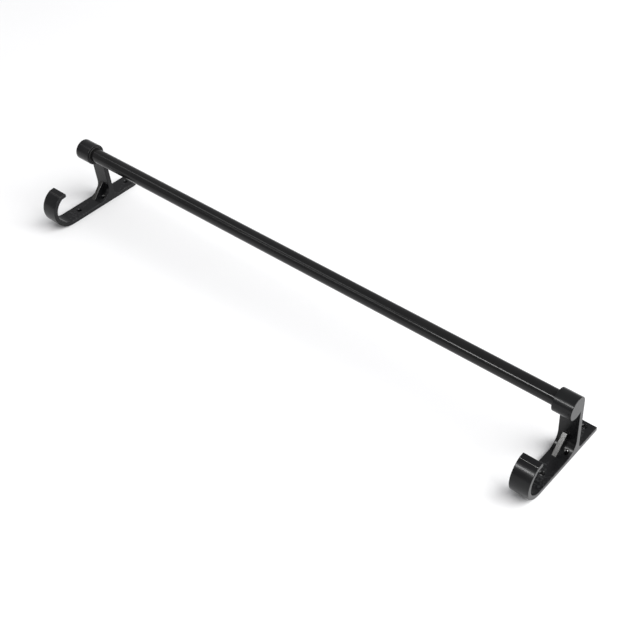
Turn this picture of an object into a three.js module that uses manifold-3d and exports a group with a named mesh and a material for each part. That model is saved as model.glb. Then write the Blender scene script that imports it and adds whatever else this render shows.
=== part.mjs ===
// Wall-mounted curtain rod: a round tube carried between two brackets. Both brackets are the same
// casting: a screw plate with a J-hook at one end of it, an arm that carries a round boss, and beside a
// screw hole in the root of the arm a flat-faced rib. Only the blind socket is sunk from the opposite
// side, so that the two face each other. A plastic cup lines it and takes one end of the tube.
//
// Millimetres. X runs along the rod, Z stands off the wall (Z = 0 is the wall side of both plates) and
// Y runs along the plates, from the hook at -Y to the plain end at +Y. In use +Y is up. The origin is
// halfway between the brackets, on the wall, in the middle of the plates' depth.

import * as THREE from 'three';
import * as BufferGeometryUtils from 'three/addons/utils/BufferGeometryUtils.js';
import Module from 'manifold-3d';

const wasm = await Module();
wasm.setup();

const degrees = Math.PI / 180;

// ---------- driving dimensions ----------

const bracketSpacing = 600;      // middle of one bracket to the middle of the other
const bracketWidth = 19;
const rodHeight = 66.5;          // rod axis above the wall

const rodDiameter = 15;
const tubeWall = 1.2;
const bossWall = 2.45;           // metal around each socket

const plateThickness = 4.6;      // plate and hook are one strip of this thickness
const plateReach = 46.5;         // rod axis to the plain end of the plate
const plateEndRound = 1.2;       // outer edge of that end
const hookCentre = 45.5;         // rod axis to the centre of the hook's bend
const hookRadius = 22;           // outside of the bend
const hookWrap = 155 * degrees;  // bend, from the plate round to the corner of the lip
const lipLength = 6.6;           // outside edge of the inward-turned lip
const lipRise = 6 * degrees;     // slope of the lip away from the wall

const armThickness = 5.4;
const armFoot = 15.4;            // rod axis to the arm's far face, down at the plate
const flareRadius = 14;          // arm into plate on the hook side
const heelRadius = 4.5;          // arm into plate on the plain side

const screwHole = 4.2;
const countersinkWidth = 5.8;
const countersinkDepth = 0.8;
const hookSideHole = 29;         // rod axis to the screw hole on the hook side
const plainSideHole = 40;        // rod axis to the screw hole near the plain end
const rootHole = 1.9;            // rod axis to the screw hole in the flare, towards the plain end
const rootSeat = 7.5;            // height of that hole's countersink, which is sunk into the flare

const ribWidth = 4.8;
const ribInset = 4.7;            // bracket's -X face to the rib
const ribPastFlare = 1.8;        // how far each end of the rib runs past the flare

const socketDepth = 14;
const cupWall = 1;
const cupFloor = 1.2;
const cupFit = 0.15;             // radial gap between cup and socket
const rodFit = 0.1;              // radial gap between tube and cup
const seatGap = 0.3;             // between the cup's floor and the socket's
const endPlay = 0.5;             // between each tube end and its cup's floor

const arcSteps = 64;             // facets in a full turn of a round face
const overcut = 1;               // how far a cutting tool stands out of what it cuts

// ---------- sizes that follow ----------

const rodRadius = rodDiameter / 2;
const cupBore = rodRadius + rodFit;
const cupOutside = cupBore + cupWall;
const cupLength = socketDepth - seatGap;
const socketRadius = cupOutside + cupFit;
const bossRadius = socketRadius + bossWall;
const cupSeat = bracketWidth / 2 - cupLength;      // bracket's middle to the outside of the cup's floor
const rodLength = bracketSpacing - 2 * (cupSeat + cupFloor + endPlay);
const hookInsideRadius = hookRadius - plateThickness;
const middleOfDepth = (plateReach - hookCentre - hookRadius) / 2;

// ---------- the profile, in a plane with u along Y and v along Z ----------

const at = (u, v) => new THREE.Vector2(u, v);
const onCircle = (centre, radius, angle) => at(radius, 0).rotateAround(at(0, 0), angle).add(centre);

function arc(centre, radius, from, to) {
  const steps = Math.ceil(Math.abs(to - from) / (2 * Math.PI) * arcSteps);
  return Array.from({ length: steps + 1 }, (_, i) => onCircle(centre, radius, from + (to - from) * i / steps));
}

const hookBend = at(-hookCentre, hookRadius);
const boss = at(0, rodHeight);

// The arm's far face starts at its foot and touches the boss, so the arm leans a little to the hook.
const foot = at(armFoot, plateThickness);
const footToBoss = boss.clone().sub(foot);
const lean = footToBoss.angle() - Math.asin(bossRadius / footToBoss.length()) - Math.PI / 2;
const armUp = at(-Math.sin(lean), Math.cos(lean));
const armHookward = at(-Math.cos(lean), -Math.sin(lean));

// A fillet between plate and arm touches the plate's top and one face of the arm.
const nearFoot = at(armFoot - armThickness / armUp.y, plateThickness);
const flareCentre = at(nearFoot.x - flareRadius * (1 - armUp.x) / armUp.y, plateThickness + flareRadius);
const heelCentre = at(armFoot + heelRadius * (1 + armUp.x) / armUp.y, plateThickness + heelRadius);
const down = -Math.PI / 2;

function bracketOutline() {
  const hookEnd = down - hookWrap;
  const lipWay = at(Math.cos(lipRise), Math.sin(lipRise));
  const lipInward = at(Math.sin(lipRise), -Math.cos(lipRise));
  const lipTip = onCircle(hookBend, hookRadius, hookEnd).addScaledVector(lipWay, lipLength);
  const lipTipInside = lipTip.clone().addScaledVector(lipInward, plateThickness);

  // The lip's inner face runs back to the inside of the bend.
  const toBend = hookBend.clone().sub(lipTipInside);
  const offLine = toBend.cross(lipWay);
  const lipRoot = lipTipInside.clone()
    .addScaledVector(lipWay, toBend.dot(lipWay) - Math.sqrt(hookInsideRadius ** 2 - offLine ** 2));
  const lipRootAngle = lipRoot.sub(hookBend).angle() - 2 * Math.PI;

  // The arm's near face runs up into the boss.
  const nearOffset = armThickness - bossRadius;
  const armTop = armHookward.clone().multiplyScalar(nearOffset)
    .addScaledVector(armUp, -Math.sqrt(bossRadius ** 2 - nearOffset ** 2));

  return [
    at(plateReach, 0),
    ...arc(hookBend, hookRadius, down, hookEnd),
    lipTip,
    lipTipInside,
    ...arc(hookBend, hookInsideRadius, lipRootAngle, down),
    ...arc(flareCentre, flareRadius, down, lean),
    ...arc(boss, bossRadius, armTop.angle(), lean),
    ...arc(heelCentre, heelRadius, lean + Math.PI, 1.5 * Math.PI),
    ...arc(at(plateReach - plateEndRound, plateThickness - plateEndRound), plateEndRound, -down, 0),
  ];
}

// ---------- geometry helpers ----------

// Turns shape X, Y and depth into Y, Z and X.
const alongX = new THREE.Matrix4().makeBasis(
  new THREE.Vector3(0, 1, 0),
  new THREE.Vector3(0, 0, 1),
  new THREE.Vector3(1, 0, 0),
);

function extrudedAlongX(outline, length) {
  const geometry = new THREE.ExtrudeGeometry(new THREE.Shape(outline), { depth: length, bevelEnabled: false });
  return geometry.translate(0, 0, -length / 2).applyMatrix4(alongX);
}

// A turned solid about +Z, from radius and height pairs that start and end on the axis or close.
function turned(profile) {
  const points = profile.map(([radius, height]) => at(radius, height));
  return new THREE.LatheGeometry(points, arcSteps).rotateX(Math.PI / 2);
}

function solidOf(geometry) {
  const bare = geometry.clone();
  bare.deleteAttribute('normal');
  bare.deleteAttribute('uv');
  const merged = BufferGeometryUtils.mergeVertices(bare, 1e-4);
  return new wasm.Manifold(new wasm.Mesh({
    numProp: 3,
    vertProperties: new Float32Array(merged.attributes.position.array),
    triVerts: new Uint32Array(merged.index.array),
  }));
}

function geometryOf(solid) {
  const mesh = solid.getMesh();
  const geometry = new THREE.BufferGeometry();
  geometry.setAttribute('position', new THREE.BufferAttribute(mesh.vertProperties, mesh.numProp));
  geometry.setIndex(new THREE.BufferAttribute(mesh.triVerts, 1));
  geometry.computeVertexNormals();
  return geometry;
}

// ---------- cutting tools ----------

// The countersink is full at the height of the seat, and keeps its width from there to the top.
function screwTool(seat, top) {
  const hole = screwHole / 2;
  return turned([
    [0, -overcut],
    [hole, -overcut],
    [hole, seat - countersinkDepth],
    [countersinkWidth / 2, seat],
    [countersinkWidth / 2, top],
    [0, top],
  ]);
}

const plateScrewTool = (y) => screwTool(plateThickness, plateThickness + overcut).translate(0, y, 0);

// In the middle of the width that the rib leaves free.
function rootScrewTool() {
  const x = (ribInset + ribWidth) / 2;
  return screwTool(rootSeat, plateThickness + flareRadius).translate(x, rootHole, 0);
}

// Inward is 1 where the rod lies towards +X of the bracket, and -1 where it lies towards -X.
function socketTool(inward) {
  const mouth = bracketWidth / 2;
  const profile = [
    [0, mouth - socketDepth],
    [socketRadius, mouth - socketDepth],
    [socketRadius, mouth + overcut],
    [0, mouth + overcut],
  ];
  return turned(profile).rotateY(inward * Math.PI / 2).translate(0, 0, rodHeight);
}

// ---------- the pieces ----------

const materials = {
  bracket: { color: 0x1b1b1d, roughness: 0.42, metalness: 0.6 },
  rod: { color: 0x121213, roughness: 0.22, metalness: 0.7 },
  cup: { color: 0x0e0e0f, roughness: 0.6, metalness: 0 },
};

function piece(name, finish, geometry) {
  const mesh = new THREE.Mesh(geometry, new THREE.MeshStandardMaterial(materials[finish]));
  mesh.name = name;
  return mesh;
}

// The rib fills the flare up to one flat face between the plate and the arm.
function rib() {
  const middle = ribInset + ribWidth / 2 - bracketWidth / 2;
  const onPlate = at(flareCentre.x - ribPastFlare, plateThickness);
  const onArm = onCircle(flareCentre, flareRadius, lean).addScaledVector(armUp, ribPastFlare);
  const intoArm = at(armThickness / 2, 0);
  const intoPlate = at(0, -plateThickness / 2);
  return extrudedAlongX([
    onPlate,
    onArm,
    onArm.clone().add(intoArm),
    nearFoot.clone().add(intoArm).add(intoPlate),
    onPlate.clone().add(intoPlate),
  ], ribWidth).translate(middle, 0, 0);
}

function bracket(name, inward) {
  let solid = solidOf(extrudedAlongX(bracketOutline(), bracketWidth)).add(solidOf(rib()));
  const tools = [
    plateScrewTool(-hookSideHole),
    plateScrewTool(plainSideHole),
    rootScrewTool(),
    socketTool(inward),
  ];
  for (const tool of tools) {
    solid = solid.subtract(solidOf(tool));
  }
  const mesh = piece(name, 'bracket', geometryOf(solid));
  mesh.position.x = -inward * bracketSpacing / 2;
  return mesh;
}

function socketCup(name, inward) {
  const mesh = piece(name, 'cup', turned([
    [0, 0],
    [cupOutside, 0],
    [cupOutside, cupLength],
    [cupBore, cupLength],
    [cupBore, cupFloor],
    [0, cupFloor],
  ]));
  mesh.rotation.y = inward * Math.PI / 2;
  mesh.position.set(-inward * (bracketSpacing / 2 - cupSeat), 0, rodHeight);
  return mesh;
}

function rodTube() {
  const bore = rodRadius - tubeWall;
  const end = rodLength / 2;
  const mesh = piece('rod_tube', 'rod', turned([
    [bore, -end],
    [rodRadius, -end],
    [rodRadius, end],
    [bore, end],
    [bore, -end],
  ]));
  mesh.rotation.y = Math.PI / 2;
  mesh.position.z = rodHeight;
  return mesh;
}

const group = new THREE.Group();
group.position.y = -middleOfDepth;
group.add(
  bracket('left_bracket', 1),
  socketCup('left_socket_cup', 1),
  rodTube(),
  socketCup('right_socket_cup', -1),
  bracket('right_bracket', -1),
);

export default group;
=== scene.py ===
import math

import bmesh
import bpy
from mathutils import Matrix, Vector


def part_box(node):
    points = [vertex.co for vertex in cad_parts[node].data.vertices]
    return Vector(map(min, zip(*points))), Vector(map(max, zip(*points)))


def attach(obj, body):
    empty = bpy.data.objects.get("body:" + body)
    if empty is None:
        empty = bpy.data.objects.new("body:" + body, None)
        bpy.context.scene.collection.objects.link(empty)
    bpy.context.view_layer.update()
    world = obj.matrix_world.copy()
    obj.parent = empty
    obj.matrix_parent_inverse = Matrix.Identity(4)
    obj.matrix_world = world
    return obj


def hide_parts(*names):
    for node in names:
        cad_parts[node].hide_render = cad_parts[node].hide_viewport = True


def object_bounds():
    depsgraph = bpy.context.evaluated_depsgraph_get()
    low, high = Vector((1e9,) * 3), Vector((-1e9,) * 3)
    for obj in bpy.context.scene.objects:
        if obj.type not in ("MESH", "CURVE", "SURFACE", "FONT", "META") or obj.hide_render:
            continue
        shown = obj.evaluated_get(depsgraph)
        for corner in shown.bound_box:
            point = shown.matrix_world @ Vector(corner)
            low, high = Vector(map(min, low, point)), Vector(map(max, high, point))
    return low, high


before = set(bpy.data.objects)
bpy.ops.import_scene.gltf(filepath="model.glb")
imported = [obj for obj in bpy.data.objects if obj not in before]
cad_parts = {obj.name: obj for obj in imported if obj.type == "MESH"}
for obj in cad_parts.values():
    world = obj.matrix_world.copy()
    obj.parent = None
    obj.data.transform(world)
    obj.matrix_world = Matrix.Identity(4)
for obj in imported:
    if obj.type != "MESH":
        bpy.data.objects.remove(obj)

cad_low, cad_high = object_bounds()

MM = 0.001


# ---------- what the frame says ----------

tube_low, tube_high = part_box("rod_tube")
left_low, left_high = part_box("left_bracket")
right_low, right_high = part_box("right_bracket")

AXIS_Y = (tube_low[1] + tube_high[1]) / 2
AXIS_Z = (tube_low[2] + tube_high[2]) / 2
ROD_RADIUS = (tube_high[2] - tube_low[2]) / 2 / MM
ROD_END = (tube_high[0] - tube_low[0]) / 2 / MM
WIDTH = (left_high[0] - left_low[0]) / MM
ROD_HEIGHT = AXIS_Z / MM

# ---------- sizes of one bracket, in millimetres ----------
# u runs along Y from the rod's axis and v along Z from the wall.

PLATE = 4.6
PLATE_REACH = (left_high[1] - AXIS_Y) / MM
PLATE_END_ROUND = 1.2
HOOK_CENTRE = 45.5
HOOK_RADIUS = 22.0
HOOK_WRAP = math.radians(155)
LIP_LENGTH = 6.6
LIP_RISE = math.radians(6)
LIP_ROUND = 1.3
LIP_STEP = 0.55        # length of the small slope that climbs from the bend to the lip
LIP_STEP_SLOPE = math.radians(45)
LIP_STEP_RUN = math.radians(4)    # how much of the bend the step's hollow takes
ARM = 5.4
ARM_FOOT = 15.4
FLARE_RADIUS = 14.0
HEEL_RADIUS = 4.5
SCREW_HOLE = 4.2
COUNTERSINK_WIDTH = 5.8
COUNTERSINK_DEPTH = 0.8
HOOK_SIDE_HOLE = 29.0
PLAIN_SIDE_HOLE = 40.0
ROOT_HOLE = 1.9
ROOT_SEAT = 7.5
RIB_WIDTH = 4.8
RIB_INSET = 4.7
RIB_PAST_FLARE = 1.8
SOCKET_DEPTH = 14.0
CUP_WALL = 1.0
CUP_FLOOR = 1.2
CUP_FIT = 0.15
ROD_FIT = 0.1
SEAT_GAP = 0.3
BOSS_WALL = 2.45
TUBE_WALL = 1.2

CUP_BORE = ROD_RADIUS + ROD_FIT
CUP_OUTSIDE = CUP_BORE + CUP_WALL
CUP_LENGTH = SOCKET_DEPTH - SEAT_GAP
SOCKET_RADIUS = CUP_OUTSIDE + CUP_FIT
BOSS_RADIUS = SOCKET_RADIUS + BOSS_WALL

EDGE = 0.45            # rounding of a bracket's edges
TURNED_EDGE = 0.3      # softened ends of the tube
MOULDED_EDGE = 0.2     # and of a cup
RIM = 0.15             # worn rim of a hole
OVERCUT = 1.0          # how far a cutting tool stands out of what it cuts
ARC_STEP = math.radians(3)
TURN_STEPS = 128
HOLE_STEPS = 64
SHARP = math.radians(32)

# ---------- the bracket's profile ----------


def on_circle(centre, radius, angle):
    return Vector((centre[0] + radius * math.cos(angle), centre[1] + radius * math.sin(angle)))


def arc(centre, radius, start, end):
    steps = max(2, math.ceil(abs(end - start) / ARC_STEP))
    return [on_circle(centre, radius, start + (end - start) * i / steps) for i in range(steps + 1)]


def angle_of(v):
    return math.atan2(v[1], v[0])


def rounded(before, corner, after, radius):
    """The corner as an arc that touches both of its sides."""
    a = (before - corner).normalized()
    b = (after - corner).normalized()
    half = a.angle(b) / 2
    centre = corner + (a + b).normalized() * (radius / math.sin(half))
    first = corner + a * (radius / math.tan(half)) - centre
    last = corner + b * (radius / math.tan(half)) - centre
    turn = math.atan2(first.x * last.y - first.y * last.x, first.dot(last))
    return arc(centre, radius, angle_of(first), angle_of(first) + turn)


DOWN = -math.pi / 2
hook_bend = Vector((-HOOK_CENTRE, HOOK_RADIUS))
hook_inside = HOOK_RADIUS - PLATE
boss = Vector((0, ROD_HEIGHT))
foot = Vector((ARM_FOOT, PLATE))
foot_to_boss = boss - foot
lean = angle_of(foot_to_boss) - math.asin(BOSS_RADIUS / foot_to_boss.length) - math.pi / 2
arm_up = Vector((-math.sin(lean), math.cos(lean)))
arm_hookward = Vector((-math.cos(lean), -math.sin(lean)))
near_foot = Vector((ARM_FOOT - ARM / arm_up.y, PLATE))
flare_centre = Vector((near_foot.x - FLARE_RADIUS * (1 - arm_up.x) / arm_up.y, PLATE + FLARE_RADIUS))
heel_centre = Vector((ARM_FOOT + HEEL_RADIUS * (1 + arm_up.x) / arm_up.y, PLATE + HEEL_RADIUS))
root_hole_x = (RIB_INSET + RIB_WIDTH) / 2    # in the middle of the width that the rib leaves free


def bracket_outline():
    hook_end = DOWN - HOOK_WRAP
    lip_way = Vector((math.cos(LIP_RISE), math.sin(LIP_RISE)))
    lip_inward = Vector((math.sin(LIP_RISE), -math.cos(LIP_RISE)))
    lip_corner = on_circle(hook_bend, HOOK_RADIUS, hook_end)
    lip_tip = lip_corner + lip_way * LIP_LENGTH
    lip_tip_inside = lip_tip + lip_inward * PLATE
    to_bend = hook_bend - lip_tip_inside
    off_line = to_bend.x * lip_way.y - to_bend.y * lip_way.x
    lip_root = lip_tip_inside + lip_way * (to_bend.dot(lip_way) - math.sqrt(hook_inside ** 2 - off_line ** 2))
    lip_root_angle = angle_of(lip_root - hook_bend) % (2 * math.pi) - 2 * math.pi
    near_offset = ARM - BOSS_RADIUS
    arm_top = arm_hookward * near_offset - arm_up * math.sqrt(BOSS_RADIUS ** 2 - near_offset ** 2)
    end_round = Vector((PLATE_REACH - PLATE_END_ROUND, PLATE - PLATE_END_ROUND))
    outer_bend = arc(hook_bend, HOOK_RADIUS, DOWN, hook_end + LIP_STEP_RUN)
    step_foot = lip_corner - Vector((math.cos(LIP_STEP_SLOPE), math.sin(LIP_STEP_SLOPE))) * LIP_STEP
    return [
        Vector((PLATE_REACH, 0)),
        *outer_bend,
        step_foot,
        lip_corner,
        *rounded(lip_corner, lip_tip, lip_tip_inside, LIP_ROUND),
        *rounded(lip_tip, lip_tip_inside, lip_root, LIP_ROUND),
        *arc(hook_bend, hook_inside, lip_root_angle, DOWN),
        *arc(flare_centre, FLARE_RADIUS, DOWN, lean),
        *arc(boss, BOSS_RADIUS, angle_of(arm_top) % (2 * math.pi), lean),
        *arc(heel_centre, HEEL_RADIUS, lean + math.pi, 1.5 * math.pi),
        *arc(end_round, PLATE_END_ROUND, math.pi / 2, 0),
    ]


def rib_outline():
    on_plate = Vector((flare_centre.x - RIB_PAST_FLARE, PLATE))
    on_arm = on_circle(flare_centre, FLARE_RADIUS, lean) + arm_up * RIB_PAST_FLARE
    into_arm = Vector((ARM / 2, 0))
    into_plate = Vector((0, -PLATE / 2))
    return [on_plate, on_arm, on_arm + into_arm, near_foot + into_arm + into_plate, on_plate + into_plate]


# ---------- mesh helpers ----------


def add_object(name, bm):
    bmesh.ops.recalc_face_normals(bm, faces=bm.faces)
    mesh = bpy.data.meshes.new(name)
    bm.to_mesh(mesh)
    bm.free()
    obj = bpy.data.objects.new(name, mesh)
    bpy.context.scene.collection.objects.link(obj)
    return obj


def baked(obj):
    """The object with its modifiers applied."""
    graph = bpy.context.evaluated_depsgraph_get()
    mesh = bpy.data.meshes.new_from_object(obj.evaluated_get(graph))
    obj.modifiers.clear()
    obj.data = mesh
    return obj


def prism(name, outline, low, high, edge):
    """An outline in millimetres, drawn along X between two positions, with rounded edges."""
    bm = bmesh.new()
    ends = []
    for x in (low, high):
        ends.append([bm.verts.new((x * MM, p[0] * MM, p[1] * MM)) for p in outline])
    count = len(outline)
    for i in range(count):
        j = (i + 1) % count
        bm.faces.new((ends[0][i], ends[0][j], ends[1][j], ends[1][i]))
    bm.faces.new(ends[0])
    bm.faces.new(list(reversed(ends[1])))
    bmesh.ops.remove_doubles(bm, verts=bm.verts, dist=1e-6)
    obj = add_object(name, bm)
    bevel = obj.modifiers.new("edges", "BEVEL")
    bevel.width = edge * MM
    bevel.segments = 3
    bevel.limit_method = "ANGLE"
    bevel.angle_limit = math.radians(40)
    bevel.use_clamp_overlap = False
    return baked(obj)


def turned(name, profile, steps=TURN_STEPS):
    """Radius and height pairs in millimetres, turned about +Z. A profile off the axis closes on itself."""
    bm = bmesh.new()
    rings = []
    for radius, height in profile:
        if radius == 0:
            rings.append([bm.verts.new((0, 0, height * MM))])
            continue
        around = [on_circle((0, 0), radius, 2 * math.pi * i / steps) for i in range(steps)]
        rings.append([bm.verts.new((p.x * MM, p.y * MM, height * MM)) for p in around])
    pairs = list(zip(rings, rings[1:]))
    if profile[0][0] != 0:
        pairs.append((rings[-1], rings[0]))
    for a, b in pairs:
        for i in range(steps):
            j = (i + 1) % steps
            if len(a) == 1:
                bm.faces.new((a[0], b[j], b[i]))
            elif len(b) == 1:
                bm.faces.new((a[i], a[j], b[0]))
            else:
                bm.faces.new((a[i], a[j], b[j], b[i]))
    return add_object(name, bm)


def moved(obj, matrix):
    obj.data.transform(matrix)
    return obj


def combine(obj, other, operation):
    step = obj.modifiers.new("combine", "BOOLEAN")
    step.operation = operation
    step.solver = "MANIFOLD"
    step.object = other
    baked(obj)
    bpy.data.objects.remove(other)
    return obj


def smooth(obj):
    obj.data.shade_smooth()
    obj.data.set_sharp_from_angle(angle=SHARP)
    weighted = obj.modifiers.new("flat_faces", "WEIGHTED_NORMAL")
    weighted.keep_sharp = True
    weighted.weight = 80
    return baked(obj)


def inside_box(obj, low, high):
    for v in obj.data.vertices:
        v.co = [min(max(c, a), b) for c, a, b in zip(v.co, low, high)]
    return obj


# ---------- the brackets ----------


def screw_hole(u):
    hole = SCREW_HOLE / 2
    sink = COUNTERSINK_WIDTH / 2
    tool = turned("tool", [
        (0, -OVERCUT),
        (hole + RIM + OVERCUT, -OVERCUT),
        (hole, RIM),
        (hole, PLATE - COUNTERSINK_DEPTH),
        (sink, PLATE - RIM),
        (sink + RIM, PLATE),
        (sink + RIM + OVERCUT, PLATE + OVERCUT),
        (0, PLATE + OVERCUT),
    ], HOLE_STEPS)
    return moved(tool, Matrix.Translation((0, u * MM, 0)))


def root_hole():
    hole = SCREW_HOLE / 2
    sink = COUNTERSINK_WIDTH / 2
    top = PLATE + FLARE_RADIUS
    tool = turned("tool", [
        (0, -OVERCUT),
        (hole + RIM + OVERCUT, -OVERCUT),
        (hole, RIM),
        (hole, ROOT_SEAT - COUNTERSINK_DEPTH),
        (sink, ROOT_SEAT),
        (sink, top),
        (0, top),
    ], HOLE_STEPS)
    return moved(tool, Matrix.Translation((root_hole_x * MM, ROOT_HOLE * MM, 0)))


def socket(inward):
    mouth = WIDTH / 2
    tool = turned("tool", [
        (0, mouth - SOCKET_DEPTH),
        (SOCKET_RADIUS, mouth - SOCKET_DEPTH),
        (SOCKET_RADIUS, mouth - 2 * RIM),
        (SOCKET_RADIUS + 2 * RIM, mouth),
        (SOCKET_RADIUS + 2 * RIM + OVERCUT, mouth + OVERCUT),
        (0, mouth + OVERCUT),
    ])
    turn = Matrix.Rotation(inward * math.pi / 2, 4, "Y")
    return moved(tool, Matrix.Translation((0, 0, ROD_HEIGHT * MM)) @ turn)


def mark_painted_highlight_faces(body, middle):
    """The rib's flat face, the step at the lip and the seat in the flare take the second material, a lighter
    copy of the coat that paints a highlight on them.
    """
    near = 0.1
    west = RIB_INSET - WIDTH / 2
    rib_foot, rib_top = rib_outline()[:2]
    rib_facing = Vector((0, rib_foot.y - rib_top.y, rib_top.x - rib_foot.x)).normalized()
    step_way = Vector((math.cos(LIP_STEP_SLOPE), math.sin(LIP_STEP_SLOPE)))
    step = on_circle(hook_bend, HOOK_RADIUS, DOWN - HOOK_WRAP) - step_way * (LIP_STEP / 2)
    for face in body.data.polygons:
        x, u, v = (face.center - Vector((middle, AXIS_Y, 0))) / MM
        off_rib = Vector((0, u - rib_foot.x, v - rib_foot.y)).dot(rib_facing)
        on_rib = west - near < x < west + RIB_WIDTH + near and -EDGE - near / 2 < off_rib < near / 2
        rib_face = on_rib and face.normal.dot(rib_facing) > 0.3
        step_face = max(abs(u - step.x), abs(v - step.y)) < LIP_STEP / 2
        out = math.hypot(x - root_hole_x, u - ROOT_HOLE)
        seat_ring = SCREW_HOLE / 2 - near < out < COUNTERSINK_WIDTH / 2
        seat_face = seat_ring and ROOT_SEAT - COUNTERSINK_DEPTH < v < ROOT_SEAT and 0.3 < face.normal.z < 0.9
        if rib_face or step_face or seat_face:
            face.material_index = 1


def bracket(side, low, high, inward):
    half = WIDTH / 2
    body = prism(f"{side}_bracket_casting", bracket_outline(), -half, half, EDGE)
    rib = prism("rib", rib_outline(), RIB_INSET - half, RIB_INSET + RIB_WIDTH - half, EDGE)
    combine(body, rib, "UNION")
    for tool in (screw_hole(-HOOK_SIDE_HOLE), screw_hole(PLAIN_SIDE_HOLE), root_hole(), socket(inward)):
        combine(body, tool, "DIFFERENCE")
    moved(body, Matrix.Translation(((low[0] + high[0]) / 2, AXIS_Y, 0)))
    inside_box(body, low, high)
    smooth(body)
    mark_painted_highlight_faces(body, (low[0] + high[0]) / 2)
    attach(body, f"{side}_bracket_body")
    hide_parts(f"{side}_bracket")
    return body


left_casting = bracket("left", left_low, left_high, 1)
right_casting = bracket("right", right_low, right_high, -1)

# ---------- the rod and its cups ----------


def rod():
    inner = ROD_RADIUS - TUBE_WALL
    soft = TURNED_EDGE
    profile = [
        (inner, -ROD_END),
        (ROD_RADIUS - soft, -ROD_END),
        (ROD_RADIUS, -ROD_END + soft),
        (ROD_RADIUS, ROD_END - soft),
        (ROD_RADIUS - soft, ROD_END),
        (inner, ROD_END),
    ]
    obj = turned("rod_tube_drawn", profile)
    turn = Matrix.Rotation(math.pi / 2, 4, "Y")
    moved(obj, Matrix.Translation((0, AXIS_Y, AXIS_Z)) @ turn)
    smooth(obj)
    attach(obj, "rod_body")
    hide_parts("rod_tube")
    return obj


def cup(side, inward):
    low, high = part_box(f"{side}_socket_cup")
    soft = MOULDED_EDGE
    profile = [
        (0, 0),
        (CUP_OUTSIDE - soft, 0),
        (CUP_OUTSIDE, soft),
        (CUP_OUTSIDE, CUP_LENGTH - soft),
        (CUP_OUTSIDE - soft, CUP_LENGTH),
        (CUP_BORE + soft, CUP_LENGTH),
        (CUP_BORE, CUP_LENGTH - soft),
        (CUP_BORE, CUP_FLOOR),
        (0, CUP_FLOOR),
    ]
    obj = turned(f"{side}_cup_moulded", profile)
    seat = low[0] if inward > 0 else high[0]
    turn = Matrix.Rotation(inward * math.pi / 2, 4, "Y")
    moved(obj, Matrix.Translation((seat, AXIS_Y, AXIS_Z)) @ turn)
    smooth(obj)
    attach(obj, f"{side}_bracket_body")
    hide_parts(f"{side}_socket_cup")
    return obj


rod_piece = rod()
cups = [cup("left", 1), cup("right", -1)]

# ---------- materials ----------


class Nodes:
    """A short way to write a material's node tree."""

    def __init__(self, name):
        self.material = bpy.data.materials.new(name)
        self.material.use_nodes = True
        self.tree = self.material.node_tree
        self.shader = self.tree.nodes["Principled BSDF"]
        self.place = self.tree.nodes.new("ShaderNodeTexCoord").outputs["Object"]

    def link(self, source, target):
        self.tree.links.new(source, target)

    def add(self, kind, **values):
        node = self.tree.nodes.new(kind)
        for key, value in values.items():
            setattr(node, key, value)
        return node

    def noise(self, scale, detail, stretch=(1, 1, 1)):
        mapping = self.add("ShaderNodeMapping")
        mapping.inputs["Scale"].default_value = stretch
        self.link(self.place, mapping.inputs["Vector"])
        node = self.add("ShaderNodeTexNoise")
        node.inputs["Scale"].default_value = scale
        node.inputs["Detail"].default_value = detail
        self.link(mapping.outputs["Vector"], node.inputs["Vector"])
        return node.outputs["Fac"]

    def ramp(self, source, stops):
        node = self.add("ShaderNodeValToRGB")
        ramp = node.color_ramp
        while len(ramp.elements) < len(stops):
            ramp.elements.new(0.5)
        for element, (at, colour) in zip(ramp.elements, stops):
            element.position = at
            element.color = (*colour, 1) if isinstance(colour, tuple) else (colour, colour, colour, 1)
        self.link(source, node.inputs["Fac"])
        return node.outputs["Color"]

    def mix(self, factor, a, b, mode="MIX"):
        node = self.add("ShaderNodeMix", data_type="RGBA", blend_type=mode)
        for socket, value in ((node.inputs[0], factor), (node.inputs[6], a), (node.inputs[7], b)):
            if isinstance(value, (int, float)):
                socket.default_value = value if socket.type == "VALUE" else (value, value, value, 1)
            elif isinstance(value, tuple):
                socket.default_value = (*value, 1)
            else:
                self.link(value, socket)
        return node.outputs[2]

    def set(self, name, value):
        """A constant goes on the shader's own socket, and anything else is linked to it."""
        if isinstance(value, (int, float)):
            self.shader.inputs[name].default_value = value
        else:
            self.link(value, self.shader.inputs[name])

    def bump(self, height, strength, distance, below=None):
        node = self.add("ShaderNodeBump")
        node.inputs["Strength"].default_value = strength
        node.inputs["Distance"].default_value = distance
        self.link(height, node.inputs["Height"])
        if below is not None:
            self.link(below, node.inputs["Normal"])
        return node.outputs["Normal"]


def casting_coat():
    """Satin black coat on cast metal: fine orange peel, slow patches, and convex edges painted lighter,
    partly as wear and partly as a painted edge highlight.
    """
    n = Nodes("casting_coat")
    peel = n.noise(1400, 3)
    grain = n.noise(5200, 2)
    patches = n.noise(55, 4)
    pointy = n.add("ShaderNodeNewGeometry").outputs["Pointiness"]
    edges = n.ramp(pointy, [(0.57, 0.0), (0.66, 1.0)])
    chips = n.ramp(n.noise(420, 4), [(0.46, 0.0), (0.64, 1.0)])
    # Convex edges, broken up by noise, are painted lighter: partly wear, partly a painted edge highlight.
    edge_wear_and_sheen = n.ramp(n.mix(1.0, edges, chips, "MULTIPLY"), [(0.0, 0.0), (1.0, 0.3)])
    base = n.ramp(patches, [(0.3, (0.0042, 0.0042, 0.0048)), (0.7, (0.0072, 0.0075, 0.0078))])
    n.set("Base Color", n.mix(edge_wear_and_sheen, base, (0.06, 0.06, 0.062)))
    n.set("Roughness", n.ramp(patches, [(0.3, 0.18), (0.7, 0.25)]))
    n.set("IOR", 1.31)
    n.set("Normal", n.bump(peel, 0.04, 0.00025, n.bump(grain, 0.02, 0.0001)))
    return n.material


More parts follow.
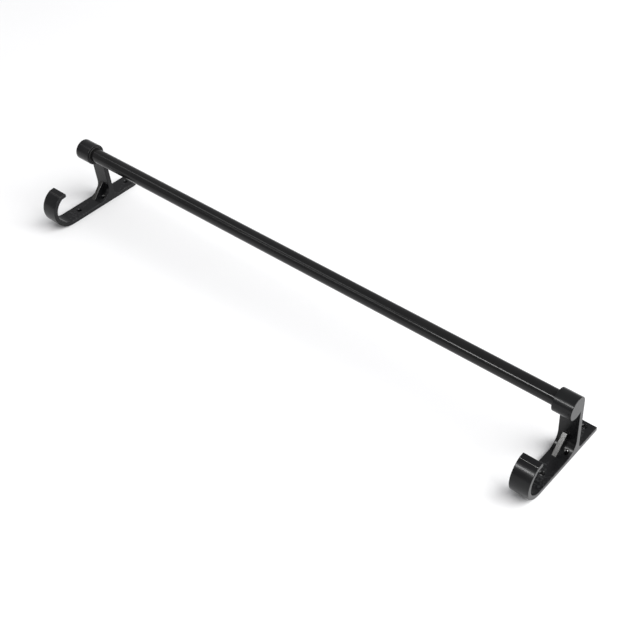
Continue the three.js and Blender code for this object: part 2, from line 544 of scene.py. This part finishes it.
def painted_highlight_coat():
    """The same coat made lighter and glossier: a painted highlight on the rib's flat face, the step at the
    lip and the seat in the flare.
    """
    n = Nodes("painted_highlight_coat")
    brush = n.noise(1500, 3, stretch=(1, 0.06, 0.06))
    patches = n.noise(90, 3)
    n.set("Base Color", n.ramp(patches, [(0.3, (0.020, 0.0190, 0.0170)), (0.7, (0.030, 0.0285, 0.026))]))
    n.set("Roughness", n.ramp(patches, [(0.3, 0.17), (0.7, 0.20)]))
    n.set("IOR", 1.46)
    n.set("Normal", n.bump(brush, 0.006, 0.0001))
    return n.material


def rod_coat():
    """Glossy black coat on drawn tube: faint draw lines along the rod and slow changes of gloss."""
    n = Nodes("rod_coat")
    draw = n.noise(900, 3, stretch=(0.02, 1, 1))
    scuffs = n.noise(160, 5, stretch=(0.25, 1, 1))
    patches = n.noise(30, 3)
    n.set("Base Color", n.ramp(patches, [(0.3, (0.0052, 0.0052, 0.0055)), (0.7, (0.0078, 0.0076, 0.0076))]))
    n.set("Roughness", n.ramp(scuffs, [(0.35, 0.13), (0.7, 0.16)]))
    n.set("IOR", 1.31)
    n.set("Normal", n.bump(draw, 0.015, 0.00012))
    return n.material


def cup_plastic():
    """Black moulded nylon with a fine matt grain."""
    n = Nodes("cup_plastic")
    grain = n.noise(3000, 3)
    n.set("Base Color", n.ramp(n.noise(200, 3), [(0.3, 0.006), (0.7, 0.011)]))
    n.set("Roughness", n.ramp(grain, [(0.3, 0.5), (0.7, 0.65)]))
    n.set("Normal", n.bump(grain, 0.15, 0.0001))
    return n.material


def paint(objs, *materials):
    for obj in objs:
        places = [face.material_index for face in obj.data.polygons]
        obj.data.materials.clear()
        for material in materials:
            obj.data.materials.append(material)
        obj.data.polygons.foreach_set("material_index", places)


# The second material is a lighter, glossier copy of the coat: a painted highlight on the rib, the lip step
# and the root seat.
paint([left_casting, right_casting], casting_coat(), painted_highlight_coat())
paint([rod_piece], rod_coat())
paint(cups, cup_plastic())

# ---------- floor, light and camera, in metres ----------

FLOOR_REACH = 12.0     # middle of the floor to its edge
FLOOR_GAP = 0.0002     # between the floor and the plates
AIR = (0.98, 0.98, 1.0, 1)
AIR_STRENGTH = 0.52
SOFT_BOX_PLACE = Vector((3.0, 0.6, 3.0))
SOFT_BOX_SIZE = (4.4, 4.4)
STRIP_ANGLE = math.radians(51)      # from straight up, towards the hooks
STRIP_DISTANCE = 1.5
STRIP_WIDTH = 0.16
SLANT_WIDTH = 0.2
SLANT_AIM = Vector((-0.1, AXIS_Y, AXIS_Z))
SLANT_START = Vector((-1.64, -0.32, 1.53))
SLANT_END = Vector((-0.63, -0.83, 1.32))
CAMERA_PLACE = (0.58565, -0.60456, 0.76513)
CAMERA_YAW = math.radians(42.28)
CAMERA_PITCH = math.radians(42.41)
CAMERA_ROLL = math.radians(2.57)


def floor():
    bm = bmesh.new()
    bmesh.ops.create_grid(bm, x_segments=1, y_segments=1, size=FLOOR_REACH)
    obj = add_object("studio_floor", bm)
    obj.location.z = cad_low[2] - FLOOR_GAP
    n = Nodes("studio_floor")
    n.set("Base Color", n.ramp(n.noise(3, 3), [(0.3, 0.79), (0.7, 0.81)]))
    n.set("Roughness", 0.9)
    obj.data.materials.append(n.material)


def air():
    world = bpy.data.worlds.new("studio")
    world.use_nodes = True
    background = world.node_tree.nodes["Background"]
    background.inputs["Color"].default_value = AIR
    background.inputs["Strength"].default_value = AIR_STRENGTH
    bpy.context.scene.world = world


def area_light(name, place, facing, size, radiance):
    light = bpy.data.lights.new(name, "AREA")
    light.shape = "RECTANGLE"
    light.size, light.size_y = size
    light.energy = radiance * math.pi * size[0] * size[1]
    obj = bpy.data.objects.new(name, light)
    obj.location = place
    obj.rotation_mode = "QUATERNION"
    obj.rotation_quaternion = facing
    obj.visible_camera = False
    bpy.context.scene.collection.objects.link(obj)
    return obj


def highlight(name, place, facing, size, radiance):
    """A light that only gloss shows: it draws a thin line along the rod and casts no shadow on the floor."""
    area_light(name, place, facing, size, radiance).visible_diffuse = False


def facing_rod(way):
    return (-way).to_track_quat("-Z", "Y")


def lights():
    # A wide soft box, high up and past the right end, lights the floor.
    area_light("soft_box", SOFT_BOX_PLACE, facing_rod(SOFT_BOX_PLACE), SOFT_BOX_SIZE, 5.3)
    # A long strip above and in front, fainter past the left end.
    way = Vector((0, -math.sin(STRIP_ANGLE), math.cos(STRIP_ANGLE))) * STRIP_DISTANCE
    for name, x, length, radiance in (("strip", -0.05, 0.9, 26), ("strip_end", -0.85, 0.7, 4)):
        highlight(name, Vector((x, AXIS_Y, AXIS_Z)) + way, facing_rod(way), (length, STRIP_WIDTH), radiance)
    # Another strip lies at a slant, up past the left end.
    middle = (SLANT_START + SLANT_END) / 2
    along = (SLANT_END - SLANT_START).normalized()
    side = (middle - SLANT_AIM).cross(along).normalized()
    facing = Matrix((along, side, along.cross(side))).transposed().to_quaternion()
    length = (SLANT_END - SLANT_START).length
    highlight("slant", middle, facing, (length, SLANT_WIDTH), 3.3)


def camera():
    lens = bpy.data.cameras.new("camera")
    lens.lens = 64.47
    lens.sensor_width = 36
    lens.shift_x, lens.shift_y = 0.00075, -0.0016
    lens.clip_start, lens.clip_end = 0.01, 50
    obj = bpy.data.objects.new("camera", lens)
    turn = Matrix.Rotation(CAMERA_YAW, 4, "Z") @ Matrix.Rotation(math.pi / 2 - CAMERA_PITCH, 4, "X")
    roll = Matrix.Rotation(-CAMERA_ROLL, 4, "Z")
    obj.matrix_world = Matrix.Translation(CAMERA_PLACE) @ turn @ roll
    bpy.context.scene.collection.objects.link(obj)
    bpy.context.scene.camera = obj


floor()
air()
lights()
camera()
bpy.context.scene.view_settings.view_transform = "Standard"
bpy.context.scene.view_settings.look = "None"
